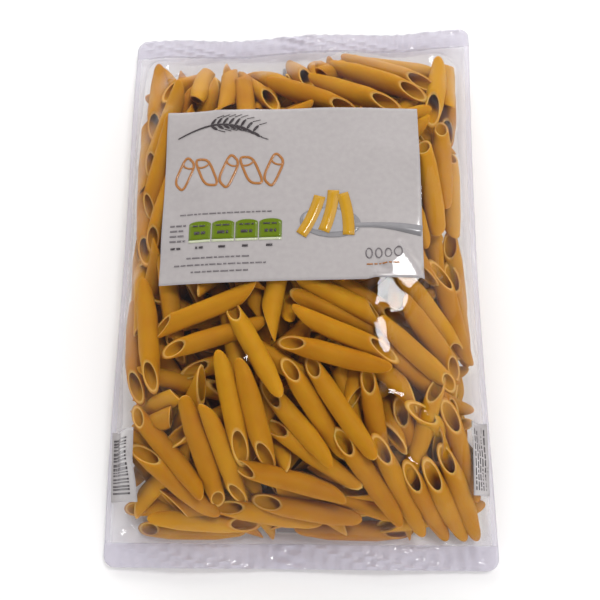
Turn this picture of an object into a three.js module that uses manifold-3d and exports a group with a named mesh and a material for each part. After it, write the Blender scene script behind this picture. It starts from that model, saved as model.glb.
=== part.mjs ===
// A packet of dry penne in clear film, lying on its back with its front panel up.
//
// The film is a flat tube closed by a crimped seal at each end. Filled, it swells to a pillow: almost
// flat on top, flat where it rests, and pinched to a narrow pleat down each side. The tubes of pasta
// press through the film as low ridges. Three printed fields lie on the film: the white front panel,
// the bar field at the left edge and the small-print field at the right edge.
//
// Millimetres. X runs across the packet, Y towards its top end, Z up from the surface it lies on.

import * as THREE from "three";
import { mergeVertices } from "three/addons/utils/BufferGeometryUtils.js";
import Module from "manifold-3d";

// The packet's own sizes.
const PACK_WIDTH = 160;
const PACK_LENGTH = 245;
const PACK_HEIGHT = 51;
const SEAL_LENGTH = 10;
const SEAL_THICKNESS = 1.2;
const SIDE_PLEAT = 5;
const WAIST = 3.5;

// How high the flat seals and the side pleats lie, and how far the seals wave up and down.
const SEAL_LEVEL = 5;
const PLEAT_LEVEL = 15;
const SEAL_WAVE = 1.4;
const SEAL_WAVELENGTH = 74;

// The pillow's fullness: a higher power gives a flatter middle, a lower root a rounder shoulder.
const ACROSS = { power: 7, root: 0.6 };
const TOP_END = { power: 4.4, root: 0.78 };
const BOTTOM_END = { power: 6, root: 0.7 };
const UNDERSIDE_DEPTH = 30;

// One tube of pasta, and how it presses through the film.
const PENNE_LENGTH = 46;
const PENNE_RADIUS = 4.05;
const FILM_SAG = 1.5;
const SUNK_MOST = 0.7;
const PRESSED_PITCH = { across: 13, along: 31 };
const PRESSED_SHIFT = 4;
const LEAN_RANGE = { least: 20, most: 75 };
const SEED = 17;

// The printed fields: centre, width and length on the film, their thickness and their clearance.
const FRONT_PANEL = { x: -0.5, y: 23, width: 104, length: 76 };
const BAR_FIELD = { x: -69.5, y: -83, width: 15, length: 28 };
const PRINT_FIELD = { x: 73, y: -80, width: 8, length: 28 };
const PRINT_THICKNESS = 0.5;
const PRINT_CLEARANCE = 0.3;

// The grid that the film's two faces are moulded on.
const COLUMNS = 38;
const ROWS = 54;
const SEAL_ROWS = 2;
const PLEAT_COLUMNS = 1;
const SHOULDER_EASE = 0.35;

const POUCH_END = PACK_LENGTH / 2 - SEAL_LENGTH;
const PLEAT_TOP = PLEAT_LEVEL + SEAL_THICKNESS / 2;

// A rounded profile that is 1 in the middle and 0 at an offset of 1 to either side.
function fullness(offset, { power, root }) {
  return Math.pow(Math.max(0, 1 - Math.pow(Math.abs(offset), power)), root);
}

// Half the packet's width: full at the seals, and drawn in a little at the middle.
function halfWidthAt(y) {
  const along = Math.min(1, Math.abs(y) / POUCH_END);
  return PACK_WIDTH / 2 - WAIST * (1 - along * along);
}

// How far the pouch is filled at a spot: 1 at its middle, 0 along the pleats and the seals.
function filling(x, y) {
  const end = y > 0 ? TOP_END : BOTTOM_END;
  const across = x / (halfWidthAt(y) - SIDE_PLEAT);
  return fullness(across, ACROSS) * fullness(y / POUCH_END, end);
}

// The level at which the front and the back film meet.
function meetingLevel(x, y) {
  const along = Math.min(1, Math.abs(y) / POUCH_END);
  const wave = SEAL_WAVE * Math.sin((2 * Math.PI * x) / SEAL_WAVELENGTH + Math.sign(y));
  const seal = SEAL_LEVEL + wave;
  return THREE.MathUtils.lerp(PLEAT_LEVEL, seal, Math.pow(along, 3));
}

// The tubes that press on the front film: one in each cell of a grid, shifted and turned by chance.
function pressedTubes() {
  const tubes = [];
  const random = (from, to) => THREE.MathUtils.lerp(from, to, THREE.MathUtils.seededRandom());
  THREE.MathUtils.seededRandom(SEED);
  const { across, along } = PRESSED_PITCH;
  const mostAcross = Math.floor(PACK_WIDTH / 2 / across);
  const mostAlong = Math.floor(POUCH_END / along);
  for (let i = -mostAcross; i <= mostAcross; i++) {
    for (let j = -mostAlong; j <= mostAlong; j++) {
      const centre = new THREE.Vector2(
        i * across + random(-PRESSED_SHIFT, PRESSED_SHIFT),
        j * along + random(-PRESSED_SHIFT, PRESSED_SHIFT),
      );
      const side = random(-1, 1) < 0 ? -1 : 1;
      const lean = THREE.MathUtils.degToRad(side * random(LEAN_RANGE.least, LEAN_RANGE.most));
      const reach = new THREE.Vector2(Math.sin(lean), Math.cos(lean));
      reach.multiplyScalar(PENNE_LENGTH / 2 - PENNE_RADIUS);
      const ends = { start: centre.clone().sub(reach), end: centre.clone().add(reach) };
      tubes.push({ ...ends, sunk: random(0, SUNK_MOST) });
    }
  }
  return tubes;
}

const TUBES = pressedTubes();

// How far the film sags below the full pillow: least over a tube, most in a gap between tubes.
function sagAt(x, y) {
  let sag = FILM_SAG;
  const spot = new THREE.Vector2(x, y);
  for (const { start, end, sunk } of TUBES) {
    const axis = end.clone().sub(start);
    const share = THREE.MathUtils.clamp(spot.clone().sub(start).dot(axis) / axis.lengthSq(), 0, 1);
    const distance = spot.distanceTo(start.clone().addScaledVector(axis, share));
    if (distance >= PENNE_RADIUS) continue;
    const drop = PENNE_RADIUS - Math.sqrt(PENNE_RADIUS ** 2 - distance ** 2);
    sag = Math.min(sag, sunk + drop);
  }
  return sag;
}

function frontLevel(x, y) {
  const filled = filling(x, y);
  const pillow = meetingLevel(x, y) + (PACK_HEIGHT - PLEAT_TOP) * filled;
  return pillow + SEAL_THICKNESS / 2 - sagAt(x, y) * filled;
}

function backLevel(x, y) {
  const pillow = meetingLevel(x, y) - SEAL_THICKNESS / 2;
  return Math.max(0, pillow - UNDERSIDE_DEPTH * filling(x, y));
}

// Where a point of the grid lies across and along the packet. The outermost columns are the pleats,
// the outermost rows the seals, and the columns draw closer together at the shoulders.
function gridX(u, y) {
  const half = halfWidthAt(y);
  const pouch = half - SIDE_PLEAT;
  const pouchShare = 1 - (2 * PLEAT_COLUMNS) / COLUMNS;
  const t = Math.abs(u) / pouchShare;
  if (t > 1) return Math.sign(u) * half;
  const eased = THREE.MathUtils.lerp(t, Math.sin((t * Math.PI) / 2), SHOULDER_EASE);
  return Math.sign(u) * pouch * eased;
}

function gridY(v) {
  const pouchShare = 1 - (2 * SEAL_ROWS) / ROWS;
  const t = Math.abs(v) / pouchShare;
  if (t <= 1) return Math.sign(v) * POUCH_END * t;
  const intoSeal = (Math.abs(v) - pouchShare) / (1 - pouchShare);
  return Math.sign(v) * (POUCH_END + SEAL_LENGTH * intoSeal);
}

// A closed solid on the film's grid, between a lower and an upper face given by their levels.
function moulded(lowerLevel, upperLevel) {
  const shape = new THREE.BoxGeometry(2, 2, 2, COLUMNS, ROWS, 1);
  const position = shape.getAttribute("position");
  for (let i = 0; i < position.count; i++) {
    const y = gridY(position.getY(i));
    const x = gridX(position.getX(i), y);
    const level = position.getZ(i) > 0 ? upperLevel : lowerLevel;
    position.setXYZ(i, x, y, level(x, y));
  }
  shape.computeVertexNormals();
  return shape;
}

const wasm = await Module();
wasm.setup();

function toSolid(geometry) {
  const bare = new THREE.BufferGeometry();
  bare.setAttribute("position", geometry.getAttribute("position"));
  bare.setIndex(geometry.getIndex());
  const merged = mergeVertices(bare, 1e-3);
  const vertProperties = new Float32Array(merged.getAttribute("position").array);
  const triVerts = new Uint32Array(merged.getIndex().array);
  return new wasm.Manifold(new wasm.Mesh({ numProp: 3, vertProperties, triVerts }));
}

function toGeometry(solid) {
  const { vertProperties, triVerts } = solid.getMesh();
  const geometry = new THREE.BufferGeometry();
  geometry.setAttribute("position", new THREE.BufferAttribute(vertProperties, 3));
  geometry.setIndex(new THREE.BufferAttribute(triVerts, 1));
  geometry.computeVertexNormals();
  return geometry;
}

// The packet grown upwards by a rise, from well below the surface that it lies on.
function risenPacket(rise) {
  return toSolid(
    moulded(
      () => -PACK_HEIGHT,
      (x, y) => frontLevel(x, y) + rise,
    ),
  );
}

// A printed field: the skin between two rises of the packet, cut out by an upright block.
function printedField({ x, y, width, length }) {
  const block = new THREE.BoxGeometry(width, length, 4 * PACK_HEIGHT).translate(x, y, 0);
  return toGeometry(SKIN.intersect(toSolid(block)));
}

const SKIN = risenPacket(PRINT_CLEARANCE + PRINT_THICKNESS).subtract(risenPacket(PRINT_CLEARANCE));

function piece(name, geometry, look) {
  const mesh = new THREE.Mesh(geometry, new THREE.MeshStandardMaterial({ metalness: 0, ...look }));
  mesh.name = name;
  return mesh;
}

const packet = new THREE.Group();
packet.name = "pasta_packet";
packet.add(
  piece("packet", moulded(backLevel, frontLevel), { color: 0xb98a3a, roughness: 0.25 }),
  piece("front_panel", printedField(FRONT_PANEL), { color: 0xd2cfd0, roughness: 0.3 }),
  piece("bar_field", printedField(BAR_FIELD), { color: 0xc9c4c6, roughness: 0.3 }),
  piece("print_field", printedField(PRINT_FIELD), { color: 0xc4c2cc, roughness: 0.3 }),
);

export default packet;
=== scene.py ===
"""A packet of dry penne in clear film, lying on its back with its front panel up.

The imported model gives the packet's size and the places of its printed fields. Here the plain pillow is
replaced by what it stands for: a heap of separate penne, and the clear film that is drawn over them, and
the printed fields get their inks. All sizes are in millimetres until a mesh is made.
"""

from __future__ import annotations

import logging
from dataclasses import dataclass, field
from enum import Enum
from typing import Any, Callable

import bpy
import numpy as np
from mathutils import Matrix, Vector

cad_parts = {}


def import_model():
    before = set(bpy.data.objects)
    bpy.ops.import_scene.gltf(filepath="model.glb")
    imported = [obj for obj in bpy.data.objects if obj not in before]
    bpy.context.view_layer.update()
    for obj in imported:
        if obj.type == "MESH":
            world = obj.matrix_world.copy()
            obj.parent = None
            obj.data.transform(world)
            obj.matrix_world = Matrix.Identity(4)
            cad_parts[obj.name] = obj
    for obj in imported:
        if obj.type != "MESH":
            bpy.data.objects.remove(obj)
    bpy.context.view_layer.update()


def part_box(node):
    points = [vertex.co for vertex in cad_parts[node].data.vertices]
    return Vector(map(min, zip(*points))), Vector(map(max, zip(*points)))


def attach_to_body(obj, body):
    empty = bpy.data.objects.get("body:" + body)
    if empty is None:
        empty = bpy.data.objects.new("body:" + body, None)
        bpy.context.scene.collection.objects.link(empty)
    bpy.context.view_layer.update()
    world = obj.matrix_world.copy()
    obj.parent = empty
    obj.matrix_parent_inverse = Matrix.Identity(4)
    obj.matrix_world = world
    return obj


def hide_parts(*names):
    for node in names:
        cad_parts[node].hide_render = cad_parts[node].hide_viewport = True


Array = np.ndarray
Level = Callable[[Array, Array], Array]
LOG = logging.getLogger("packet")
MM = 0.001

# The pillow's full height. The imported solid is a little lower, because its film sags between the tubes.
PACK_HEIGHT = 51.0


def linear(hex_colour: str) -> tuple[float, float, float, float]:
    """Turns an sRGB hex colour into linear light.

    Args:
        hex_colour: The colour as six hex digits.

    Returns:
        Red, green, blue and an alpha of one.
    """
    coded = np.array([int(hex_colour[i : i + 2], 16) for i in (0, 2, 4)]) / 255.0
    light = np.where(coded <= 0.04045, coded / 12.92, ((coded + 0.055) / 1.055) ** 2.4)
    return (*light.tolist(), 1.0)


def smoothstep(low: float, high: float, value: Array) -> Array:
    """Eases from 0 at low to 1 at high: 3t^2 - 2t^3, with t the clamped share of the way.

    Args:
        low: Where the result is 0.
        high: Where the result is 1.
        value: The values to ease.

    Returns:
        The eased values.
    """
    share = np.clip((value - low) / (high - low), 0.0, 1.0)
    return share * share * (3.0 - 2.0 * share)


def add_node(
    tree: bpy.types.NodeTree,
    kind: str,
    inputs: dict[str | int, Any] | None = None,
    **settings: Any,
) -> bpy.types.Node:
    """Adds a shader node, with its settings, its values and what is linked into it.

    Args:
        tree: The node tree.
        kind: The node's type name.
        inputs: A value or an output socket for each named or numbered input.
        **settings: The node's own properties.

    Returns:
        The new node.
    """
    node = tree.nodes.new(kind)
    for name, value in settings.items():
        setattr(node, name, value)
    for key, value in (inputs or {}).items():
        if isinstance(value, bpy.types.NodeSocket):
            tree.links.new(value, node.inputs[key])
        else:
            node.inputs[key].default_value = value
    return node


def blank_material(name: str) -> tuple[bpy.types.Material, bpy.types.NodeTree]:
    """Makes a material with an empty node tree.

    Args:
        name: The material's name.

    Returns:
        The material and its tree.
    """
    material = bpy.data.materials.new(name)
    material.use_nodes = True
    material.node_tree.nodes.clear()
    return material, material.node_tree


def colour_ramp(ramp: bpy.types.Node, stops: list[tuple[float, str]]) -> None:
    """Sets the stops of a Color Ramp node.

    Args:
        ramp: The node.
        stops: Each stop's place and its hex colour, in rising order.
    """
    elements = ramp.color_ramp.elements
    while len(elements) < len(stops):
        elements.new(0.5)
    for element, (place, colour) in zip(elements, stops):
        element.position = place
        element.color = linear(colour)


@dataclass(frozen=True)
class DurumPasta:
    """Extruded and dried durum semolina: amber, faintly translucent, with pale floury cut rims."""

    body: str = "BF8812"
    deep: str = "A86A08"
    rim: str = "D8AC5E"
    inside: str = "B67E0C"
    speck: str = "7A4810"
    roughness: float = 0.55
    ior: float = 1.47
    grain_mm: float = 0.45
    cloud_mm: float = 9.0
    scatter_mm: float = 2.0

    def build(self) -> bpy.types.Material:
        """Makes the material. Its colour reads the tubes' own tone, cut and hollow attributes."""
        material, tree = blank_material("durum_pasta")
        place = add_node(tree, "ShaderNodeTexCoord").outputs["Object"]
        tone, cut, hollow = (
            add_node(tree, "ShaderNodeAttribute", attribute_name=name).outputs["Fac"]
            for name in ("tone", "cut", "hollow")
        )
        cloud = add_node(
            tree,
            "ShaderNodeTexNoise",
            {"Vector": place, "Scale": 1.0 / (self.cloud_mm * MM), "Detail": 3.0},
        ).outputs["Fac"]
        grain = add_node(
            tree,
            "ShaderNodeTexNoise",
            {"Vector": place, "Scale": 1.0 / (self.grain_mm * MM), "Detail": 2.0, "Roughness": 0.6},
        ).outputs["Fac"]
        shade = add_node(
            tree, "ShaderNodeMath", {0: cloud, 1: 0.55, 2: tone}, operation="MULTIPLY_ADD"
        ).outputs[0]
        body = add_node(tree, "ShaderNodeValToRGB", {"Fac": shade})
        colour_ramp(body, [(0.25, self.deep), (0.85, self.body)])
        specks = add_node(
            tree,
            "ShaderNodeMapRange",
            {"Value": grain, "From Min": 0.66, "From Max": 0.78, "To Max": 0.35},
        ).outputs[0]
        mixes = ((specks, self.speck), (hollow, self.inside), (cut, self.rim))
        colour = body.outputs["Color"]
        for share, other in mixes:
            mix = add_node(
                tree, "ShaderNodeMix", {0: share, 6: colour, 7: linear(other)}, data_type="RGBA"
            )
            colour = mix.outputs[2]
        bump = add_node(
            tree, "ShaderNodeBump", {"Height": grain, "Strength": 0.25, "Distance": 0.06 * MM}
        ).outputs[0]
        shader = add_node(
            tree,
            "ShaderNodeBsdfPrincipled",
            {
                "Base Color": colour,
                "Roughness": self.roughness,
                "IOR": self.ior,
                "Specular IOR Level": 0.12,
                "Subsurface Weight": 0.4,
                "Subsurface Radius": (1.0, 0.42, 0.1),
                "Subsurface Scale": self.scatter_mm * MM,
                "Normal": bump,
            },
        )
        add_node(tree, "ShaderNodeOutputMaterial", {"Surface": shader.outputs[0]})
        return material


@dataclass(frozen=True)
class ClearFilm:
    """Heat-sealed clear polypropylene film: glossy, greyish where it is doubled or stands empty."""

    haze: str = "DCD8E3"
    clearness: float = 0.975
    roughness: float = 0.08
    normal_reflection: float = 0.030
    crinkle_mm: float = 5.0

    def build(self) -> bpy.types.Material:
        """Makes the material. Its haze reads the film's own veil attribute."""
        material, tree = blank_material("clear_polypropylene_film")
        place = add_node(tree, "ShaderNodeTexCoord").outputs["Object"]
        veil = add_node(tree, "ShaderNodeAttribute", attribute_name="veil").outputs["Fac"]
        crinkle = add_node(
            tree,
            "ShaderNodeTexNoise",
            {"Vector": place, "Scale": 1.0 / (self.crinkle_mm * MM), "Detail": 4.0, "Distortion": 1.2},
        ).outputs["Fac"]
        bump = add_node(
            tree, "ShaderNodeBump", {"Height": crinkle, "Strength": 0.10, "Distance": 0.35 * MM}
        ).outputs[0]
        through = self.clearness
        clear = add_node(tree, "ShaderNodeBsdfTransparent", {"Color": (through, through, through, 1.0)})
        cloudy = add_node(
            tree, "ShaderNodeBsdfDiffuse", {"Color": linear(self.haze), "Normal": bump}
        )
        lit = add_node(
            tree, "ShaderNodeBsdfTranslucent", {"Color": linear(self.haze), "Normal": bump}
        )
        haze = add_node(tree, "ShaderNodeMixShader", {0: 0.3, 1: cloudy.outputs[0], 2: lit.outputs[0]})
        sheet = add_node(tree, "ShaderNodeMixShader", {0: veil, 1: clear.outputs[0], 2: haze.outputs[0]})
        facing = add_node(tree, "ShaderNodeLayerWeight", {"Blend": 0.5, "Normal": bump}).outputs["Facing"]
        grazing = add_node(tree, "ShaderNodeMath", {0: facing, 1: 5.0}, operation="POWER").outputs[0]
        share = add_node(
            tree,
            "ShaderNodeMath",
            {0: grazing, 1: 0.6, 2: self.normal_reflection},
            operation="MULTIPLY_ADD",
        ).outputs[0]
        gloss = add_node(
            tree, "ShaderNodeBsdfGlossy", {"Roughness": self.roughness, "Normal": bump}
        )
        shader = add_node(tree, "ShaderNodeMixShader", {0: share, 1: sheet.outputs[0], 2: gloss.outputs[0]})
        add_node(tree, "ShaderNodeOutputMaterial", {"Surface": shader.outputs[0]})
        return material


@dataclass(frozen=True)
class FilmInk:
    """Flexographic ink on film: flat colour with the film's gloss on it and a faint mottle."""

    name: str
    colour: str
    roughness: float = 0.4
    mottle_mm: float = 2.2

    def build(self) -> bpy.types.Material:
        """Makes the material."""
        material, tree = blank_material(self.name)
        place = add_node(tree, "ShaderNodeTexCoord").outputs["Object"]
        mottle = add_node(
            tree,
            "ShaderNodeTexNoise",
            {"Vector": place, "Scale": 1.0 / (self.mottle_mm * MM), "Detail": 3.0},
        ).outputs["Fac"]
        strength = add_node(
            tree,
            "ShaderNodeMapRange",
            {"Value": mottle, "From Min": 0.3, "From Max": 0.7, "To Min": 0.955, "To Max": 1.03},
        ).outputs[0]
        colour = add_node(
            tree, "ShaderNodeHueSaturation", {"Color": linear(self.colour), "Value": strength}
        ).outputs[0]
        shader = add_node(
            tree,
            "ShaderNodeBsdfPrincipled",
            {
                "Base Color": colour,
                "Roughness": self.roughness,
                "IOR": 1.49,
                "Specular IOR Level": 0.2,
                "Coat Weight": 1.0,
                "Coat Roughness": 0.12,
            },
        )
        add_node(tree, "ShaderNodeOutputMaterial", {"Surface": shader.outputs[0]})
        return material


@dataclass(frozen=True)
class StudioPaper:
    """Matte white background paper."""

    colour: str = "F9F8F7"

    def build(self) -> bpy.types.Material:
        """Makes the material."""
        material, tree = blank_material("studio_paper")
        shader = add_node(
            tree, "ShaderNodeBsdfPrincipled", {"Base Color": linear(self.colour), "Roughness": 0.9}
        )
        add_node(tree, "ShaderNodeOutputMaterial", {"Surface": shader.outputs[0]})
        return material


class Ink(Enum):
    """The inks of the print, with the colour of each."""

    WHITE = "A8A2A1"
    DARK = "3A3335"
    SOFT = "6C6668"
    ORANGE = "A06832"
    GREEN = "5E7202"
    LIME = "BDC2A4"
    GREY = "858385"
    PALE_GREY = "9B999B"
    YELLOW = "BA8A0E"

    def finish(self) -> bpy.types.Material:
        """Makes the ink's material."""
        return FilmInk(f"ink_{self.name.lower()}", self.value).build()


def grid_quads(rows: int, columns: int, around: bool = False, loop: bool = False) -> Array:
    """Lists the faces of a grid of points, numbered row by row.

    Args:
        rows: How many rows of points there are.
        columns: How many points a row has.
        around: Whether each row closes on itself.
        loop: Whether the last row joins the first.

    Returns:
        One row of four point numbers for each face.
    """
    row_last = rows if loop else rows - 1
    column_last = columns if around else columns - 1
    i, j = np.meshgrid(np.arange(row_last), np.arange(column_last), indexing="ij")
    below, right = (i + 1) % rows, (j + 1) % columns
    corners = (i * columns + j, i * columns + right, below * columns + right, below * columns + j)
    return np.stack([c.ravel() for c in corners], axis=1)


def closed_sheet(upper: Array, lower: Array, rows: int, columns: int) -> tuple[Array, Array]:
    """Joins an upper and a lower grid into one closed thin sheet.

    Args:
        upper: The upper points, row by row.
        lower: The lower points, in the same order.
        rows: How many rows of points there are.
        columns: How many points a row has.

    Returns:
        The points and the faces.
    """
    count = rows * columns
    quads = grid_quads(rows, columns)
    number = np.arange(count).reshape(rows, columns)
    rim = np.concatenate([number[0], number[1:, -1], number[-1, -2::-1], number[-2:0:-1, 0]])
    following = np.roll(rim, -1)
    walls = np.column_stack([rim, rim + count, following + count, following])
    return np.concatenate([upper, lower]), np.concatenate([quads, quads[:, ::-1] + count, walls])


def make_object(
    name: str,
    points: Array,
    faces: Array,
    material: bpy.types.Material,
    attributes: dict[str, Array] | None = None,
) -> bpy.types.Object:
    """Puts a mesh into the scene.

    Args:
        name: The piece's name.
        points: Its points in millimetres, one row each.
        faces: Its faces, one row of point numbers each.
        material: Its finish.
        attributes: A number for each point or for each face, by attribute name.

    Returns:
        The new object, at the origin.
    """
    mesh = bpy.data.meshes.new(name)
    mesh.from_pydata((points * MM).tolist(), [], faces.tolist())
    mesh.polygons.foreach_set("use_smooth", np.ones(len(faces), dtype=bool))
    for attribute, values in (attributes or {}).items():
        domain = "POINT" if len(values) == len(points) else "FACE"
        layer = mesh.attributes.new(attribute, "FLOAT", domain)
        layer.data.foreach_set("value", values.astype(np.float32))
    mesh.materials.append(material)
    mesh.update()
    piece = bpy.data.objects.new(name, mesh)
    bpy.context.scene.collection.objects.link(piece)
    return piece


@dataclass(frozen=True)
class Pillow:
    """The filled packet's form: the levels of its front and its back film, in millimetres."""

    width: float
    length: float
    height: float
    seal_length: float = 10.0
    seal_thickness: float = 1.2
    side_pleat: float = 5.0
    waist: float = 3.5
    seal_level: float = 5.0
    pleat_level: float = 15.0
    seal_wave: float = 1.4
    seal_wavelength: float = 74.0
    underside_depth: float = 30.0
    across: tuple[float, float] = (7.0, 0.6)
    top_end: tuple[float, float] = (4.4, 0.78)
    bottom_end: tuple[float, float] = (6.0, 0.7)

    @property
    def pouch_end(self) -> float:
        """How far from the middle the pouch reaches before its seals."""
        return self.length / 2 - self.seal_length

    def half_width(self, y: Array) -> Array:
        """Half the width: full at the seals, drawn in by the waist at the middle."""
        along = np.minimum(1.0, np.abs(y) / self.pouch_end)
        return self.width / 2 - self.waist * (1.0 - along**2)

    def filling(self, x: Array, y: Array) -> Array:
        """How full the pouch is: (1 - |offset|^power)^root across, times the same along."""
        rise, root = self.across
        offset = np.minimum(1.0, np.abs(x) / (self.half_width(y) - self.side_pleat))
        across = (1.0 - offset**rise) ** root
        offset = np.minimum(1.0, np.abs(y) / self.pouch_end)
        top = (1.0 - offset ** self.top_end[0]) ** self.top_end[1]
        bottom = (1.0 - offset ** self.bottom_end[0]) ** self.bottom_end[1]
        return across * np.where(y > 0, top, bottom)

    def meeting(self, x: Array, y: Array) -> Array:
        """Where the two films meet: the pleat's level, sinking by the cube of y to the wavy seal's."""
        along = np.minimum(1.0, np.abs(y) / self.pouch_end)
        wave = self.seal_wave * np.sin(2 * np.pi * x / self.seal_wavelength + np.sign(y))
        return self.pleat_level + (self.seal_level + wave - self.pleat_level) * along**3

    def front(self, x: Array, y: Array) -> Array:
        """The front film's level where it is full."""
        pleat_top = self.pleat_level + self.seal_thickness / 2
        return self.meeting(x, y) + (self.height - pleat_top) * self.filling(x, y)

    def back(self, x: Array, y: Array) -> Array:
        """The back film's level, flat where it rests."""
        return np.maximum(0.6, self.meeting(x, y) - self.underside_depth * self.filling(x, y))


# The tubes that show in the photograph, read on the packet's plan: the x and y of the open cut end, the
# x and y of a spot that the tube points to, how deep its open end lies below the film, and how much deeper
# its other end lies. The row that starts at (-58, 70) is not read: it closes a gap in the heap. The dip of
# the row that starts at (-73, -102.5) is set so that its tube lies flat in the corner.
SEEN_TUBES = (
    (-50, -31, -20, -23, 0, 3),
    (-47, -40.5, -24, -33.5, 1, 3),
    (-39, -47, -24, -42, 2, 14),
    (-55.5, -50, -62, -8, 0, 2),
    (-62, -54, -68, -14, 0, 2),
    (-47, -38, -52, -8, 6, 3),
    (-22, -24, -8, -58, 0, 2),
    (-17, -58, -24, -31, 1, 3),
    (-20, -80, -27, -42, 0, 0),
    (-8, -82, -16, -51, 1, 2),
    (-31.5, -96, -42, -54, 0, 0),
    (-22, -97, -35, -53, 1, 1),
    (-75, -65, -44, -60, 0, 2),
    (-76, -70, -46, -66, 5, 2),
    (-58, -77, -37, -97, 0, 2),
    (-62, -68, -42, -86, 3, 2),
    (-73, -102.5, -40, -98, 0, 22),
    (-20, -108, -60, -104, 0, 2),
    (-60, -110, -22, -113, 4, 2),
    (-27, -97.5, 14, -106, 3, 1),
    (-17, -83, 24, -96, 0, 0),
    (-12, -98, 27, -102.5, 2, 0),
    (-7, -70, 22, -88, 1, 2),
    (-9, -55, 13, -82, 1, 2),
    (0, -49, 20, -81, 0, 2),
    (20, -74.5, 42, -105, 0, 0),
    (33, -77, 45, -101, 0, 4),
    (44.5, -88.5, 52, -108, 0, 5),
    (55, -91.5, 64, -110, 0, 5),
    (62, -82, 71, -110, 3, 3),
    (43, -107, 74, -111, 0, 2),
    (40, -110, 12, -108, 4, 2),
    (0, -40.5, 38, -51, 0, 0),
    (36, -33, 6, -20, 1, 2),
    (36, -43, 5, -28.5, 1, 1),
    (41, -27, 16, -12, 2, 2),
    (11, -48, 25, -74, 2, 1),
    (29.5, -52, 36, -82, 1, 2),
    (41, -63.5, 50, -86, 2, 8),
    (60, -55, 33.5, -32, 0, 2),
    (68, -46, 45, -28, 1, 1),
    (70, -36, 49, -19, 1, 1),
    (62, -62, 42, -45, 3, 1),
    (57, -57, 50, -75, 2, 6),
    (47, -61, 66, -76, 1, 2),
    (61, -61, 69, -90, 1, 3),
    (58, -8, 66, -36, 2, 2),
    (64, -6, 69, -30, 5, 2),
    (-61, 62, -66, 106, 0, 2),
    (-54, 77, -47, 106, 0, 3),
    (-42, 103, -41, 62, 2, 2),
    (-31, 97, -30, 60, 1, 1),
    (-24, 90, -20, 60, 2, 1),
    (-58, 70, -22, 74, 9, 0),
    (-10, 70, -21, 90, 0, 3),
    (5, 82, -2, 104, 1, 4),
    (-8, 104, -14, 80, 4, 2),
    (22, 62, -6, 74, 1, 2),
    (41, 65, 8, 81, 0, 0),
    (48, 74, 12, 92, 1, 1),
    (56, 82, 24, 98, 1, 2),
    (30, 108, 12, 78, 4, 2),
    (20, 110, 38, 84, 5, 2),
    (8, 110, 14, 84, 5, 2),
    (56, 62, 61, 88, 0, 3),
    (60, 66, 74, 76, 1, 4),
    (70, 106, 66, 74, 1, 2),
    (58, 92, 46, 66, 4, 2),
    (54, 43, 59, 14, 0, 3),
    (62, 56, 60, 20, 2, 2),
    (66, 46, 64, 10, 4, 2),
    (56, 26, 60, -6, 3, 2),
    (60, 4, 68, -16, 2, 3),
    (-64, 45, -56, 70, 1, 4),
    (-64, 24, -54, 50, 0, 4),
    (-57, 8, -50, 34, 1, 5),
    (-62, 3, -70, 34, 3, 3),
    (-69, 56, -70, 20, 4, 2),
    (-68, 14, -71, -22, 5, 3),
    (-60, 30, -52, 0, 7, 3),
)

# How far the heap reaches towards the top seal, as listed x and y: its end is uneven there.
HEAP_REACH = (
    (-75, 107),
    (-60, 104),
    (-40, 100),
    (-20, 93),
    (0, 108),
    (30, 111),
    (45, 98),
    (58, 92),
    (70, 106),
)

# Where a rod is tested against the film, as shares of its length. The first and last lie beyond its ends.
ROD_PROBES = (-0.12, 0.0, 0.25, 0.5, 0.75, 1.0, 1.12)


@dataclass(frozen=True)
class TubeDetail:
    """How finely a tube is meshed: places along its outer and its inner wall, and points around it."""

    outer: tuple[float, ...]
    inner: tuple[float, ...]
    around: int


NEAR_FILM = TubeDetail(
    outer=(0.0, 0.015, 0.05, 0.24, 0.5, 0.76, 0.95, 0.985, 1.0),
    inner=(1.0, 0.985, 0.7, 0.3, 0.015, 0.0),
    around=24,
)
DEEP_DOWN = TubeDetail(outer=(0.0, 0.05, 0.5, 0.95, 1.0), inner=(1.0, 0.97, 0.5, 0.03, 0.0), around=12)


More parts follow.
